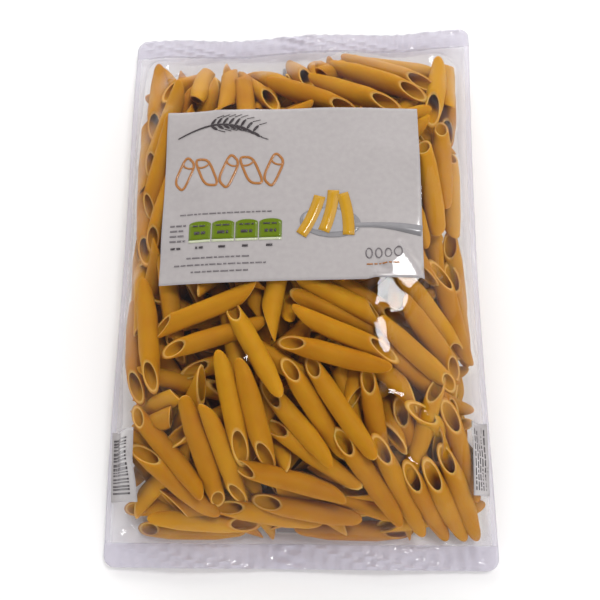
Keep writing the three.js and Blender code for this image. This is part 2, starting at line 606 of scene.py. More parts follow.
@dataclass
class PenneHeap:
    """Separate penne, pushed apart by a relaxation that still leaves many of them cutting into each other.

    Each tube is a rod with two ends. The rods that show start where the photograph has them and are held
    there at first; the rest start spread through the pouch by a seeded rule.
    """

    pillow: Pillow
    seed: int = 5
    count: int = 432

    # One tube: its size, its wall and its cut, and how far one differs from the next.
    tube_length: float = 46.0
    radius: float = 4.05
    radius_spread: float = 0.13
    length_spread: float = 1.3
    length_share: float = 0.6
    wall: float = 1.15
    outer_round: float = 0.2
    inner_round: float = 0.15
    cut_angle: float = np.radians(32.0)
    cut_spread: float = 0.05
    bend_spread: float = 0.4
    bend_most: float = 0.8
    oval_least: float = 0.16
    oval_span: float = 0.10
    oval_reach: float = 0.25
    oval_widening: float = 0.4
    turn_spread: float = 0.3
    tone_mean: float = 0.3
    tone_spread: float = 0.13
    tone_most: float = 0.6

    # Where the rods start: those that show lie under the film, the hidden ones fill the room below.
    rod_reach: float = 40.0
    slope_reach: float = 15.0
    slope_most: float = 0.9
    shown_depth: float = 2.2
    hidden_width: float = 146.0
    hidden_length: float = 216.0
    hidden_draws: int = 6
    hidden_room: float = 8.0
    hidden_room_span: float = 26.0
    hidden_end_room: float = 11.0
    hidden_wall_room: float = 1.0
    hidden_lift: float = 0.18
    height_weight: float = 2.2

    # How the relaxation runs: the room kept at the film, the growth, the hold on the shown rods, how
    # firmly the film pushes back, and how far each kind of rod gives way.
    front_clearance: float = 1.4
    hidden_clearance: float = 3.6
    back_clearance: float = 0.5
    grow_steps: int = 300
    settle_steps: int = 600
    first_size: float = 0.55
    growth: float = 0.45
    pair_interval: int = 8
    pair_margin: float = 3.0
    sink: float = 0.02
    hold_last: tuple[float, float, float] = (0.05, 0.05, 0.02)
    hold_extra: tuple[float, float, float] = (0.10, 0.10, 0.06)
    hold_until: float = 0.7
    firm_first: float = 0.35
    firm_extra: float = 0.4
    firm_rise: float = 2.5
    shown_ease: float = 0.18
    calm_share: float = 0.33
    edge_room: float = 1.0
    end_give: float = 0.5
    side_give: float = 0.6
    pleat_room: float = 0.5

    # What is put right after it, and the share of the tubes that is finely meshed.
    floor_room: float = 0.75
    seal_room: float = 1.0
    stray_limit: float = 0.8
    fine_share: float = 0.5
    starts: Array = field(init=False)
    ends: Array = field(init=False)
    radii: Array = field(init=False)

    def __post_init__(self) -> None:
        """Draws the tubes' sizes and packs them."""
        self.random = np.random.default_rng(self.seed)
        draw = self.random.normal(0.0, 1.0, (2, self.count)).clip(-2.0, 2.0)
        self.radii = self.radius + self.radius_spread * draw[0]
        self.reaches = self.rod_reach + self.length_spread * draw[1]
        self.cores = self.reaches - 2 * self.radii
        self.seen = np.array(SEEN_TUBES, dtype=float)
        self.starts, self.ends = self.first_places()
        self.relax()
        self.frames = self.find_frames()
        self.draw_shapes()
        self.settle_in()
        self.drop_strays()

    @property
    def mean_half(self) -> float:
        """Half the tube's length along its axis, from cut centre to cut centre."""
        return self.tube_length / 2 - self.radius / np.tan(self.cut_angle)

    def first_places(self) -> tuple[Array, Array]:
        """Gives each rod its first two ends.

        Returns:
            The starts and the ends, one row for each rod.
        """
        shown = len(self.seen)
        centres = np.zeros((self.count, 3))
        axes = np.zeros((self.count, 3))
        centres[:shown], axes[:shown] = self.shown_rods()
        centres[shown:], axes[shown:] = self.hidden_rods(centres[:shown])
        half = axes * self.cores[:, None] / 2
        return centres - half, centres + half

    def shown_rods(self) -> tuple[Array, Array]:
        """Lays the rods that show just under the front film, along its slope and dipped as listed.

        Returns:
            Their centres and their axes.
        """
        opening, towards = self.seen[:, 0:2], self.seen[:, 2:4]
        depth, dip = self.seen[:, 4], self.seen[:, 5]
        heading = towards - opening
        heading /= np.linalg.norm(heading, axis=1)[:, None]
        plan = opening + heading * self.mean_half
        level = self.pillow.front
        fore, aft = plan + heading * self.slope_reach, plan - heading * self.slope_reach
        slope = (level(*fore.T) - level(*aft.T)) / (2 * self.slope_reach)
        rise = slope.clip(-self.slope_most, self.slope_most) - dip / self.tube_length
        height = level(*plan.T) - self.radius - self.shown_depth - depth - dip / 2
        axes = np.column_stack([heading, rise])
        axes /= np.linalg.norm(axes, axis=1)[:, None]
        return np.column_stack([plan, height]), axes

    def hidden_rods(self, shown: Array) -> tuple[Array, Array]:
        """Spreads the other rods: each next one takes the drawn spot that is farthest from all so far.

        Args:
            shown: The centres of the rods that are already placed.

        Returns:
            Their centres and their axes.
        """
        wanted = self.count - len(shown)
        draw = self.random.random((wanted * self.hidden_draws, 4))
        x, y = (draw[:, 0] - 0.5) * self.hidden_width, (draw[:, 1] - 0.5) * self.hidden_length
        spots = np.column_stack([x, y, draw[:, 2]])
        front, back = self.pillow.front(*spots.T[:2]), self.pillow.back(*spots.T[:2])
        room = front - back
        reach = np.interp(spots[:, 0], *np.array(HEAP_REACH, dtype=float).T)
        roomy = draw[:, 3] < (room - self.hidden_room) / self.hidden_room_span
        fits = roomy & (spots[:, 1] < reach - self.hidden_end_room)
        spots, back, room = spots[fits], back[fits], room[fits]
        free = np.maximum(room - 2 * self.radius - 2 * self.hidden_wall_room, 0.0)
        spots[:, 2] = back + self.radius + self.hidden_wall_room + spots[:, 2] * free
        weight = np.array([1.0, 1.0, self.height_weight])
        apart = (((spots[:, None] - shown[None]) * weight) ** 2).sum(-1).min(1)
        chosen = []
        for _ in range(wanted):
            best = int(apart.argmax())
            chosen.append(best)
            apart = np.minimum(apart, (((spots - spots[best]) * weight) ** 2).sum(1))
        turn = self.random.random(wanted) * 2 * np.pi
        lift = self.random.normal(0.0, self.hidden_lift, wanted)
        axes = np.column_stack([np.cos(turn) * np.cos(lift), np.sin(turn) * np.cos(lift), np.sin(lift)])
        return spots[chosen], axes

    def relax(self) -> None:
        """Pushes overlapping rods apart and keeps them in the pouch, while their radius grows to full."""
        steps = self.grow_steps + self.settle_steps
        shown = len(self.seen)
        home = self.starts[:shown].copy(), self.ends[:shown].copy()
        hold_last, hold_extra = np.array(self.hold_last), np.array(self.hold_extra)
        below = np.where(np.arange(self.count) < shown, self.front_clearance, self.hidden_clearance)
        pairs = np.triu_indices(self.count, 1)
        near = pairs
        for step in range(steps):
            radii = self.radii * min(1.0, self.first_size + self.growth * step / self.grow_steps)
            if step % self.pair_interval == 0:
                near = self.near_pairs(pairs)
            self.part_rods(near, radii)
            self.starts[shown:, 2] -= self.sink
            self.ends[shown:, 2] -= self.sink
            fade = max(0.0, 1.0 - step / (self.hold_until * steps))
            hold = hold_last + hold_extra * fade
            self.starts[:shown] += (home[0] - self.starts[:shown]) * hold
            self.ends[:shown] += (home[1] - self.ends[:shown]) * hold
            late = max(0.0, 1.0 - self.firm_rise * (1.0 - step / steps))
            firmness = self.firm_first + self.firm_extra * late
            self.keep_inside(self.pillow.front, 1.0, radii + below, firmness)
            self.keep_inside(self.pillow.back, -1.0, radii + self.back_clearance, firmness)
            self.keep_between_sides()
            self.restore_lengths()

    def near_pairs(self, pairs: tuple[Array, Array]) -> tuple[Array, Array]:
        """Picks the pairs of rods that could touch.

        Args:
            pairs: All pairs, as two lists of rod numbers.

        Returns:
            The near ones, as two lists of rod numbers.
        """
        first, second = pairs
        centres = (self.starts + self.ends) / 2
        apart = np.linalg.norm(centres[first] - centres[second], axis=1)
        near = apart < (self.cores[first] + self.cores[second]) / 2 + 2 * self.radius + self.pair_margin
        return first[near], second[near]

    def part_rods(self, near: tuple[Array, Array], radii: Array) -> None:
        """Moves rods apart where they overlap: at their closest points, and at each rod's ends.

        The closest points of two rods follow from the dot products of their directions and of the gap
        between their starts. Both rods give way by half of the overlap, and those that show give less.
        Args:
            near: The pairs of rods to test.
            radii: The rods' radii at this step.
        """
        i, j = near
        a0, b0 = self.starts[i], self.starts[j]
        da, db, gap = self.ends[i] - a0, self.ends[j] - b0, a0 - b0
        aa, bb, ab = (da * da).sum(1), (db * db).sum(1), (da * db).sum(1)
        ag, bg = (da * gap).sum(1), (db * gap).sum(1)
        s = np.clip((ab * bg - ag * bb) / np.maximum(aa * bb - ab * ab, 1e-6), 0.0, 1.0)
        t = np.clip((ab * s + bg) / bb, 0.0, 1.0)
        s = np.clip((ab * t - ag) / aa, 0.0, 1.0)
        zero, one = np.zeros_like(s), np.ones_like(s)
        end_on_j = np.clip(((self.ends[i] - b0) * db).sum(1) / bb, 0.0, 1.0)
        end_on_i = np.clip(((self.ends[j] - a0) * da).sum(1) / aa, 0.0, 1.0)
        s_all = np.concatenate([s, zero, one, np.clip(-ag / aa, 0.0, 1.0), end_on_i])
        t_all = np.concatenate([t, np.clip(bg / bb, 0.0, 1.0), end_on_j, zero, one])
        i_all, j_all = np.tile(i, 5), np.tile(j, 5)
        on_i = self.starts[i_all] + (self.ends[i_all] - self.starts[i_all]) * s_all[:, None]
        on_j = self.starts[j_all] + (self.ends[j_all] - self.starts[j_all]) * t_all[:, None]
        away = on_i - on_j
        apart = np.linalg.norm(away, axis=1)
        overlap = radii[i_all] + radii[j_all] - apart
        hit = overlap > 0.0
        i_all, j_all, s_all, t_all = i_all[hit], j_all[hit], s_all[hit], t_all[hit]
        away = away[hit] / np.maximum(apart[hit], 1e-6)[:, None]
        ease = np.ones(self.count)
        ease[: len(self.seen)] = self.shown_ease
        push = 0.5 * overlap[hit] / (ease[i_all] + ease[j_all])
        rod = np.concatenate([i_all, j_all])
        share = np.concatenate([s_all, t_all])
        amount = np.concatenate([push, -push]) * ease[rod] / ((1.0 - share) ** 2 + share**2)
        away = np.concatenate([away, away])
        touches = np.bincount(rod, minlength=self.count)
        calm = np.maximum(1.0, touches * self.calm_share)
        for axis in range(3):
            step = away[:, axis] * amount
            self.starts[:, axis] += np.bincount(rod, step * (1.0 - share), self.count) / calm
            self.ends[:, axis] += np.bincount(rod, step * share, self.count) / calm

    def keep_inside(self, level: Level, side: float, room: Array, firmness: float) -> None:
        """Pushes rods back along a film's normal where they come too close to it.

        Args:
            level: The film's level.
            side: 1 for the front film and -1 for the back film.
            room: How far each rod's axis keeps from the film at least.
            firmness: The share of the lacking distance that one step gives back.
        """
        share = np.array(ROD_PROBES)
        near_start, near_end = self.starts[:, None], self.ends[:, None]
        spots = near_start * (1.0 - share)[None, :, None] + near_end * share[None, :, None]
        most_x, most_y = self.pillow.width / 2 - self.edge_room, self.pillow.length / 2 - self.edge_room
        x, y = spots[..., 0].clip(-most_x, most_x), spots[..., 1].clip(-most_y, most_y)
        half = 0.5
        across = level(x + half, y) - level(x - half, y)
        along = level(x, y + half) - level(x, y - half)
        normal = np.stack([-across, -along, np.ones_like(across)], axis=-1)
        size = np.linalg.norm(normal, axis=-1)
        depth = side * (level(x, y) - spots[..., 2]) / size
        short = np.maximum(0.0, room[:, None] - depth)
        push = -side * normal / size[..., None] * short[..., None] * firmness
        weight = 1.0 / ((1.0 - share) ** 2 + share**2)
        self.starts += (push * ((1.0 - share) * weight)[None, :, None]).sum(1)
        self.ends += (push * (share * weight)[None, :, None]).sum(1)

    def keep_between_sides(self) -> None:
        """Keeps the rods behind the heap's uneven top end, off the bottom seal and off the pleats."""
        pillow = self.pillow
        reach_x, reach_y = np.array(HEAP_REACH, dtype=float).T
        for tips in (self.starts, self.ends):
            top = np.interp(tips[:, 0], reach_x, reach_y) - self.radii
            tips[:, 1] -= np.maximum(0.0, tips[:, 1] - top) * self.end_give
            tips[:, 1] += np.maximum(0.0, self.radii - pillow.pouch_end - tips[:, 1]) * self.end_give
            lean = np.abs(self.ends[:, 0] - self.starts[:, 0]) / self.cores
            stretch = (self.tube_length - self.rod_reach) / 2 * lean
            pouch = pillow.half_width(tips[:, 1]) - self.pleat_room * pillow.side_pleat
            side = pouch - self.radii - stretch
            tips[:, 0] -= np.sign(tips[:, 0]) * np.maximum(0.0, np.abs(tips[:, 0]) - side) * self.side_give

    def restore_lengths(self) -> None:
        """Gives each rod its own length back, about its middle."""
        middle = (self.starts + self.ends) / 2
        axis = self.ends - self.starts
        axis /= np.linalg.norm(axis, axis=1)[:, None]
        self.starts = middle - axis * self.cores[:, None] / 2
        self.ends = middle + axis * self.cores[:, None] / 2

    def find_frames(self) -> tuple[Array, Array, Array, Array]:
        """Gives each tube its middle, its axis and two directions across it.

        The first direction across is where the long side of its far end lies. On the tubes that show it
        points down at the far end, so that the open end's cut faces up.

        Returns:
            Middles, axes, and the two directions across, one row for each tube.
        """
        middle = (self.starts + self.ends) / 2
        axis = self.ends - self.starts
        axis /= np.linalg.norm(axis, axis=1)[:, None]
        up = np.array([0.0, 0.0, 1.0]) - axis * axis[:, 2:3]
        up /= np.linalg.norm(up, axis=1)[:, None]
        side = np.cross(axis, up)
        shown = len(self.seen)
        turn = self.random.random(self.count) * 2 * np.pi
        turn[:shown] = self.random.normal(0.0, self.turn_spread, shown)
        across = up * np.cos(turn)[:, None] + side * np.sin(turn)[:, None]
        return middle, axis, across, np.cross(axis, across)

    def draw_shapes(self) -> None:
        """Draws each tube's own length, cut, bend and ovalness."""
        self.lengths = self.tube_length / 2 + (self.reaches - self.rod_reach) * self.length_share
        slant = self.cut_angle + self.random.normal(0.0, self.cut_spread, self.count)
        self.slopes = 1.0 / np.tan(slant)
        bends = self.random.normal(0.0, self.bend_spread, (self.count, 2))
        self.bends = bends.clip(-self.bend_most, self.bend_most)
        self.ovals = self.oval_least + self.oval_span * self.random.random(self.count)

    def wall_points(self, places: int, around: int) -> Array:
        """Samples each tube's outer wall evenly: points by tube.

        Args:
            places: How many places along a tube.
            around: How many points around it.

        Returns:
            The points, by tube and point.
        """
        angle = np.linspace(0.0, 2 * np.pi, around, endpoint=False)
        walls = self.surface(np.linspace(0.0, 1.0, places), np.zeros(places), angle)
        return walls.reshape(self.count, -1, 3)

    def settle_in(self) -> None:
        """Moves each tube off the floor and off the seals, by what its own wall still lacks."""
        points = self.wall_points(11, 12)
        middle = self.frames[0]
        reach = self.pillow.pouch_end - self.seal_room
        middle[:, 2] += np.maximum(0.0, self.floor_room - points[..., 2].min(axis=1))
        middle[:, 1] += np.maximum(0.0, -reach - points[..., 1].min(axis=1))
        middle[:, 1] -= np.maximum(0.0, points[..., 1].max(axis=1) - reach)

    def drop_strays(self) -> None:
        """Leaves out each hidden tube that would stand out of the pouch, and notes how deep the rest lie."""
        points = self.wall_points(11, 12)
        most_x = self.pillow.width / 2 - self.edge_room
        x = points[..., 0].clip(-most_x, most_x)
        over = points[..., 2] - self.pillow.front(x, points[..., 1])
        under = self.pillow.back(x, points[..., 1]) - points[..., 2]
        stray = np.maximum(over, under).max(axis=1) > self.stray_limit
        keep = ~stray | (np.arange(self.count) < len(self.seen))
        sizes = (self.radii, self.lengths, self.slopes, self.bends, self.ovals)
        self.radii, self.lengths, self.slopes, self.bends, self.ovals = (size[keep] for size in sizes)
        self.frames = tuple(part[keep] for part in self.frames)
        self.count = int(keep.sum())
        self.depths = -np.maximum(over, under).max(axis=1)[keep]

    def surface(self, share: Array, depth: Array, angle: Array, chosen: Array | slice = slice(None)) -> Array:
        """Gives points of the tubes' walls.

        At a share t of the length and an angle p, a point lies along the axis at (2t - 1) h + c x, with
        x the radius times cos p, h half the mean length and c the slope of the cut. The axis bends a
        little, by b (1 - (a/h)^2), and the ends are pressed oval by the cutter.

        Args:
            share: The places along the tube, from 0 to 1.
            depth: How far below the outer wall each place lies.
            angle: The angles around the tube.
            chosen: Which tubes, all if left out.

        Returns:
            Points by tube, place and angle.
        """
        middle, axis, across, side = (part[chosen, None, None, :] for part in self.frames)
        sizes = (self.radii, self.lengths, self.slopes, self.ovals)
        radius, length, slope, oval = (size[chosen, None, None] for size in sizes)
        bend = self.bends[chosen]
        t = share[None, :, None]
        tube_radius = radius - depth[None, :, None]
        x = tube_radius * np.cos(angle)[None, None, :]
        y = tube_radius * np.sin(angle)[None, None, :]
        along = (2 * t - 1.0) * (length - radius * slope) + slope * x
        squeeze = oval * smoothstep(self.oval_reach, 0.0, np.minimum(t, 1.0 - t))
        arch = 1.0 - (along / length) ** 2
        x = x * (1.0 + self.oval_widening * squeeze) + bend[:, 0, None, None] * arch
        y = y * (1.0 - squeeze) + bend[:, 1, None, None] * arch
        return middle + along[..., None] * axis + x[..., None] * across + y[..., None] * side

    def build(self, material: bpy.types.Material) -> bpy.types.Object:
        """Makes all tubes as one mesh: finer ones near the film, plainer ones deep in the heap.

        Args:
            material: The pasta's finish.

        Returns:
            The heap's object.
        """
        order = np.argsort(self.depths)
        fine = int(self.fine_share * self.count)
        near, deep = self.band(order[:fine], NEAR_FILM), self.band(order[fine:], DEEP_DOWN)
        points = np.concatenate([near[0], deep[0]])
        faces = np.concatenate([near[1], deep[1] + len(near[0])])
        attributes = {name: np.concatenate([near[2][name], deep[2][name]]) for name in near[2]}
        return make_object("penne", points, faces, material, attributes)

    def band(self, chosen: Array, detail: TubeDetail) -> tuple[Array, Array, dict[str, Array]]:
        """Makes some of the tubes.

        A tube is a closed band: its outer wall from the near cut to the far cut, the far rim, its inner
        wall back, and the near rim. The cut edges are a little rounded.

        Args:
            chosen: The tubes' numbers.
            detail: How finely they are meshed.

        Returns:
            The points, the faces, and a number for each face by attribute name.
        """
        around = detail.around
        share = np.concatenate([detail.outer, detail.inner])
        at_end = np.minimum(share, 1.0 - share) < 0.01
        inside = np.arange(len(share)) >= len(detail.outer)
        edge = np.where(inside, -self.inner_round, self.outer_round)
        depth = np.where(inside, self.wall, 0.0) + np.where(at_end, edge, 0.0)
        angle = np.linspace(0.0, 2 * np.pi, around, endpoint=False)
        points = self.surface(share, depth, angle, chosen)
        quads = grid_quads(len(share), around, around=True, loop=True)
        first = np.arange(len(chosen))[:, None, None] * len(share) * around
        rim = at_end & np.roll(at_end, -1)
        hollow = inside & ~rim
        tone = self.random.normal(self.tone_mean, self.tone_spread, len(chosen)).clip(0.0, self.tone_most)
        attributes = {
            "tone": np.repeat(tone, len(quads)),
            "cut": np.tile(np.repeat(rim.astype(float), around), len(chosen)),
            "hollow": np.tile(np.repeat(hollow.astype(float), around), len(chosen)),
        }
        return points.reshape(-1, 3), (quads[None] + first).reshape(-1, 4), attributes

    def outer_points(self) -> Array:
        """Samples the outer walls about every millimetre, one row a point, for the film to lie on."""
        return self.wall_points(48, 24).reshape(-1, 3)


@dataclass(frozen=True)
class FieldBox:
    """A printed field's place on the plan, in millimetres."""

    left: float
    right: float
    bottom: float
    top: float

    @classmethod
    def of_node(cls, node: str) -> "FieldBox":
        """Reads a node's place from the frame."""
        low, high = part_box(node)
        return cls(low[0] / MM, high[0] / MM, low[1] / MM, high[1] / MM)

    @property
    def centre(self) -> tuple[float, float]:
        """The field's middle."""
        return (self.left + self.right) / 2, (self.bottom + self.top) / 2

    @property
    def size(self) -> tuple[float, float]:
        """The field's width and height."""
        return self.right - self.left, self.top - self.bottom

    def mask(self, x: Array, y: Array, margin: float) -> Array:
        """Marks the field on the plan: 1 over it, easing to 0 over a margin around it.

        Args:
            x: The spots' x.
            y: The spots' y.
            margin: The margin's width.

        Returns:
            The mask at each spot.
        """
        from_left = smoothstep(self.left - margin, self.left, x)
        from_right = smoothstep(-self.right - margin, -self.right, -x)
        from_bottom = smoothstep(self.bottom - margin, self.bottom, y)
        from_top = smoothstep(-self.top - margin, -self.top, -y)
        return (from_left * from_right) * (from_bottom * from_top)


@dataclass(frozen=True)
class Folds:
    """Long soft folds in the film: their spacing, how fast they wander along, and a phase of their own."""

    spacing: float
    wander: float
    turn: float

    def height(self, across: Array, along: Array) -> Array:
        """Gives the folds' height: a sum of two sines of a warped coordinate, with its crests raised.

        Args:
            across: The coordinate across the folds.
            along: The coordinate along them.

        Returns:
            The height, from about -1 to 1.
        """
        slow = np.sin(2 * np.pi * along / self.wander + self.turn)
        reach = along / (self.wander * 0.43) + across / (self.spacing * 6.1)
        warp = 0.35 * self.spacing * slow + 0.2 * self.spacing * np.sin(2 * np.pi * reach + 2.3 * self.turn)
        first = np.sin(2 * np.pi * (across + warp) / self.spacing + self.turn)
        second = np.sin(2 * np.pi * (across - 0.7 * warp) / (self.spacing * 0.61) + 1.7 + self.turn)
        return 1.0 - 2.0 * np.abs(0.65 * first + 0.35 * second) ** 0.8


# The gathers run up to the end seals, the creases lie where the film is slack, the puckers run across
# the long shoulders, and the last are the back film's.
GATHERS = Folds(7.5, 60.0, 0.0)
CREASES = Folds(13.0, 34.0, 0.6)
PUCKERS = Folds(9.0, 40.0, 0.9)
BACK_FOLDS = Folds(16.0, 70.0, 2.0)

# The wrinkles where the back seal runs into an end seal: each one's height, slant and spacing.
SEAL_WRINKLES = ((0.3, 0.28, 4.4), (0.15, -0.4, 6.3))

# Small spots where the film stands off the heap as a flat facet, read from the photograph's glints: x,
# y, length, width, the heading of the length in degrees, and the facet's slope along x and y.
TAUT_SPOTS = (
    (38.8, -21.5, 17.0, 14.5, -88.0, -0.130, 0.010),
    (34.8, -38.0, 15.0, 6.5, -72.0, -0.130, -0.018),
    (44.5, -12.0, 15.0, 9.5, -50.0, -0.126, 0.040),
    (39.8, -58.0, 9.0, 4.0, -21.0, -0.125, -0.061),
    (50.7, -64.7, 7.0, 2.4, -51.0, -0.085, -0.070),
    (58.5, -87.1, 7.5, 2.6, 27.0, -0.080, -0.128),
    (60.0, -78.2, 5.0, 2.6, 21.0, -0.080, -0.112),
    (46.0, -83.0, 7.0, 3.2, -28.0, -0.100, -0.115),
)


@dataclass
class FilmBag:
    """The clear film: one closed envelope, tight over the heap, gathered at its seals and pleats."""

    pillow: Pillow
    heap: PenneHeap
    label: FieldBox

    # The grid, and how the film is drawn over the heap.
    columns: int = 133
    pouch_rows: int = 187
    seal_rows: int = 40
    draw_steps: int = 900
    droop: float = 0.0015
    stiff_steps: int = 40
    held_pleat: float = 0.6
    film_gap: float = 0.35
    seal_gap: float = 0.12
    floor_gap: float = 0.5
    corner: float = 5.0

    # The relief: the seals' crimps, and the folds where the film is slack.
    crimp_pitch: float = 1.35
    crimp_height: float = 0.015
    seal_edge: float = 0.8
    slack_low: float = 4.0
    slack_high: float = 9.0
    slack_most: float = 14.0
    gather_reach: float = 26.0
    shoulder_low: float = 0.78
    shoulder_high: float = 0.98
    gather_height: tuple[float, float] = (0.15, 0.75)
    pucker_height: tuple[float, float] = (0.12, 0.5)
    crease_height: float = 0.55
    under_height: float = 0.25
    under_low: float = 3.0
    under_high: float = 9.0
    label_ease: float = 4.0
    label_margin: float = 3.0
    full_room: float = 0.5
    full_drop: float = 1.6
    facet_power: int = 5
    facet_bend: float = 0.25
    facet_slant: float = 0.2
    facet_outer: float = 1.35
    facet_inner: float = 0.95

    # The haze: a trace everywhere, and what slack, the pleats, the seals and the back seal's ends add.
    clear_veil: float = 0.005
    slack_veil: float = 0.16
    pleat_veil: float = 0.42
    seal_veil: float = 0.62
    doubled_veil: float = 0.12
    most_veil: float = 0.9

    # The back seal.
    fin_width: float = 12.0
    fin_centre: float = -3.0
    fin_end: float = 4.0
    fin_rows: int = 420
    fin_columns: int = 13
    fin_pitch: float = 1.6
    fin_ridge: float = 0.07
    fin_drop: float = 0.32
    fin_half: float = 0.05
    fin_floor: float = 0.02
    fin_highest: float = 20.0
    fin_veil: float = 0.3
    x: Array = field(init=False)
    y: Array = field(init=False)
    front: Array = field(init=False)
    back: Array = field(init=False)

    def __post_init__(self) -> None:
        """Lays out the grid and draws the film over the heap."""
        pillow = self.pillow
        pouch = np.linspace(-pillow.pouch_end, pillow.pouch_end, self.pouch_rows)
        seal = np.linspace(pillow.pouch_end, pillow.length / 2, self.seal_rows + 1)[1:]
        self.row_y = np.concatenate([-seal[::-1], pouch, seal])
        self.column_u = np.linspace(-1.0, 1.0, self.columns)
        into_corner = np.maximum(0.0, np.abs(self.row_y) - pillow.length / 2 + self.corner)
        rounding = self.corner - np.sqrt(self.corner**2 - into_corner**2)
        half = pillow.half_width(self.row_y) - rounding
        self.x = self.column_u[None, :] * half[:, None]
        self.y = np.repeat(self.row_y[:, None], self.columns, axis=1)
        self.heap_top = self.heap_on_grid(1.0)
        front = self.drawn(pillow.front(self.x, self.y), self.heap_top, pillow.meeting(self.x, self.y))
        self.front = self.stiffened(front)
        heap_floor = np.minimum(self.heap_on_grid(-1.0), -self.floor_gap)
        back = self.drawn(-pillow.back(self.x, self.y), heap_floor, -pillow.meeting(self.x, self.y))
        self.back = np.maximum(self.floor_gap, -back)
        self.add_relief()
        self.add_facets()

    @property
    def in_seal(self) -> Array:
        """Which grid points lie in a seal."""
        return np.abs(self.y) > self.pillow.pouch_end + 0.01

    @property
    def pleat_share(self) -> Array:
        """How far into the side pleat a point lies: 0 at the pouch, 1 at the packet's edge."""
        edge = self.pillow.half_width(self.y)
        return smoothstep(edge - self.pillow.side_pleat, edge - 1.0, np.abs(self.x))

    def heap_on_grid(self, side: float) -> Array:
        """The heap's outline from above or below: the outermost wall point in or beside each grid cell.

        Args:
            side: 1 for the upper outline, or -1 for the lower one as levels turned upside down.

        Returns:
            The levels, far inside where there is no tube.
        """
        points = self.heap.outer_points()
        row = np.rint(np.interp(points[:, 1], self.row_y, np.arange(len(self.row_y)))).astype(int)
        share = points[:, 0] / self.pillow.half_width(points[:, 1])
        column = np.rint((share.clip(-1.0, 1.0) + 1.0) / 2 * (self.columns - 1)).astype(int)
        level = np.full(self.x.shape, -50.0)
        np.maximum.at(level, (row, column), side * points[:, 2])
        for axis in (0, 1):
            level = np.maximum(level, np.maximum(np.roll(level, 1, axis), np.roll(level, -1, axis)))
        return level + self.film_gap

    def drawn(self, full: Array, heap: Array, meeting: Array) -> Array:
        """Draws a film tight over the heap.

        Each point moves to the mean of its neighbours unless the heap holds it up; the pleats and the
        seals are held at the level where the two films meet. The film is stiff, so at last its level is
        blurred, and lifted where the blur sank it into the heap.

        Args:
            full: The level to start from, that of the full pillow.
            heap: The heap's outline.
            meeting: The level where the two films meet.

        Returns:
            The film's level on the grid.
        """
        edge = self.pillow.half_width(self.y) - self.pillow.side_pleat * self.held_pleat
        held = self.in_seal | (np.abs(self.x) >= edge)
        level = np.where(held, meeting, np.maximum(full, heap))
        for _ in range(self.draw_steps):
            above, below = level[2:, 1:-1], level[:-2, 1:-1]
            left, right = level[1:-1, :-2], level[1:-1, 2:]
            mean = level.copy()
            mean[1:-1, 1:-1] = (below + above + left + right) / 4 - self.droop
            level = np.where(held, meeting, np.maximum(mean, heap))
        for _ in range(self.stiff_steps):
            level = np.where(held, meeting, np.maximum(self.broad_mean(level, 2, 1), heap))
        smooth = np.where(held, meeting, self.broad_mean(level, 2, 2))
        short = np.where(held, 0.0, np.maximum(0.0, heap - smooth))
        return smooth + self.broad_mean(short, 2, 2) * 1.5

    def stiffened(self, level: Array) -> Array:
        """Smooths the film under the printed panel, where the ink stiffens it, clear of the heap.

        Args:
            level: The front film's level.

        Returns:
            The new level.
        """
        smooth = self.broad_mean(level, 5, 3)
        short = np.maximum(0.0, self.heap_top - smooth)
        smooth = smooth + self.broad_mean(short, 4, 3) * 2.0
        smooth = np.maximum(smooth, self.broad_mean(np.maximum(smooth, self.heap_top), 1, 2))
        return level + (smooth - level) * self.label.mask(self.x, self.y, self.label_ease)

    def add_facets(self) -> None:
        """Pulls the film flat at the listed spots: each becomes a plane that just clears the heap.

        A spot's outline is a slightly bent and slanted round-cornered box, (|u|^5 + |v|^5)^(1/5) = 1.
        """
        power = self.facet_power
        for x, y, length, width, heading, slope_x, slope_y in TAUT_SPOTS:
            cos, sin = np.cos(np.radians(heading)), np.sin(np.radians(heading))
            dx, dy = self.x - x, self.y - y
            u, v = (dx * cos + dy * sin) / (length / 2), (dy * cos - dx * sin) / (width / 2)
            bent, slanted = np.abs(u + self.facet_bend * v * v), np.abs(v + self.facet_slant * u)
            reach = (bent**power + slanted**power) ** (1 / power)
            plane = slope_x * dx + slope_y * dy
            inside = reach < 1.0
            over_heap = float((self.heap_top - plane)[inside].max())
            lift = max(over_heap, float((self.front - plane)[inside].mean()))
            mask = smoothstep(self.facet_outer, self.facet_inner, reach)
            self.front = self.front + (plane + lift - self.front) * mask

    def add_relief(self) -> None:
        """Adds what the drawing leaves out: crimped seals, gathers at the ends and slack creases."""
        pillow = self.pillow
        x, y = self.x, self.y
        into_seal = smoothstep(pillow.pouch_end, pillow.pouch_end + self.seal_edge, np.abs(y))
        fin = np.exp(-(((x - self.fin_centre) / (self.fin_width / 2)) ** 4)) * into_seal
        seal_relief = self.seal_relief(into_seal, fin)
        empty = np.minimum(self.front - self.heap_top, self.slack_most)
        slack = smoothstep(self.slack_low, self.slack_high, self.broad_mean(empty))
        free = 1.0 - self.label.mask(x, y, self.label_margin)
        relief = self.slack_relief(into_seal, slack) * free
        self.front = self.front + relief * (1.0 - self.pleat_share) + seal_relief + self.seal_gap / 2
        limit = pillow.front(x, y) + self.full_room - self.full_drop * pillow.filling(x, y)
        in_pouch = np.abs(y) < pillow.pouch_end
        self.front = np.where(in_pouch, np.minimum(self.front, limit), self.front)
        clear = np.maximum(self.front, self.heap_top - 0.3 * self.film_gap)
        self.front = np.where(self.in_seal, self.front, self.broad_mean(clear, 1, 2))
        loose = smoothstep(self.under_low, self.under_high, self.back)
        under = self.under_height * BACK_FOLDS.height(x, y) * loose
        self.back = self.back + under * (1.0 - self.pleat_share) + seal_relief - self.seal_gap / 2
        self.back = np.minimum(self.back, self.front - self.seal_gap)
        self.slack = slack
        self.into_seal = into_seal
        self.fin = fin

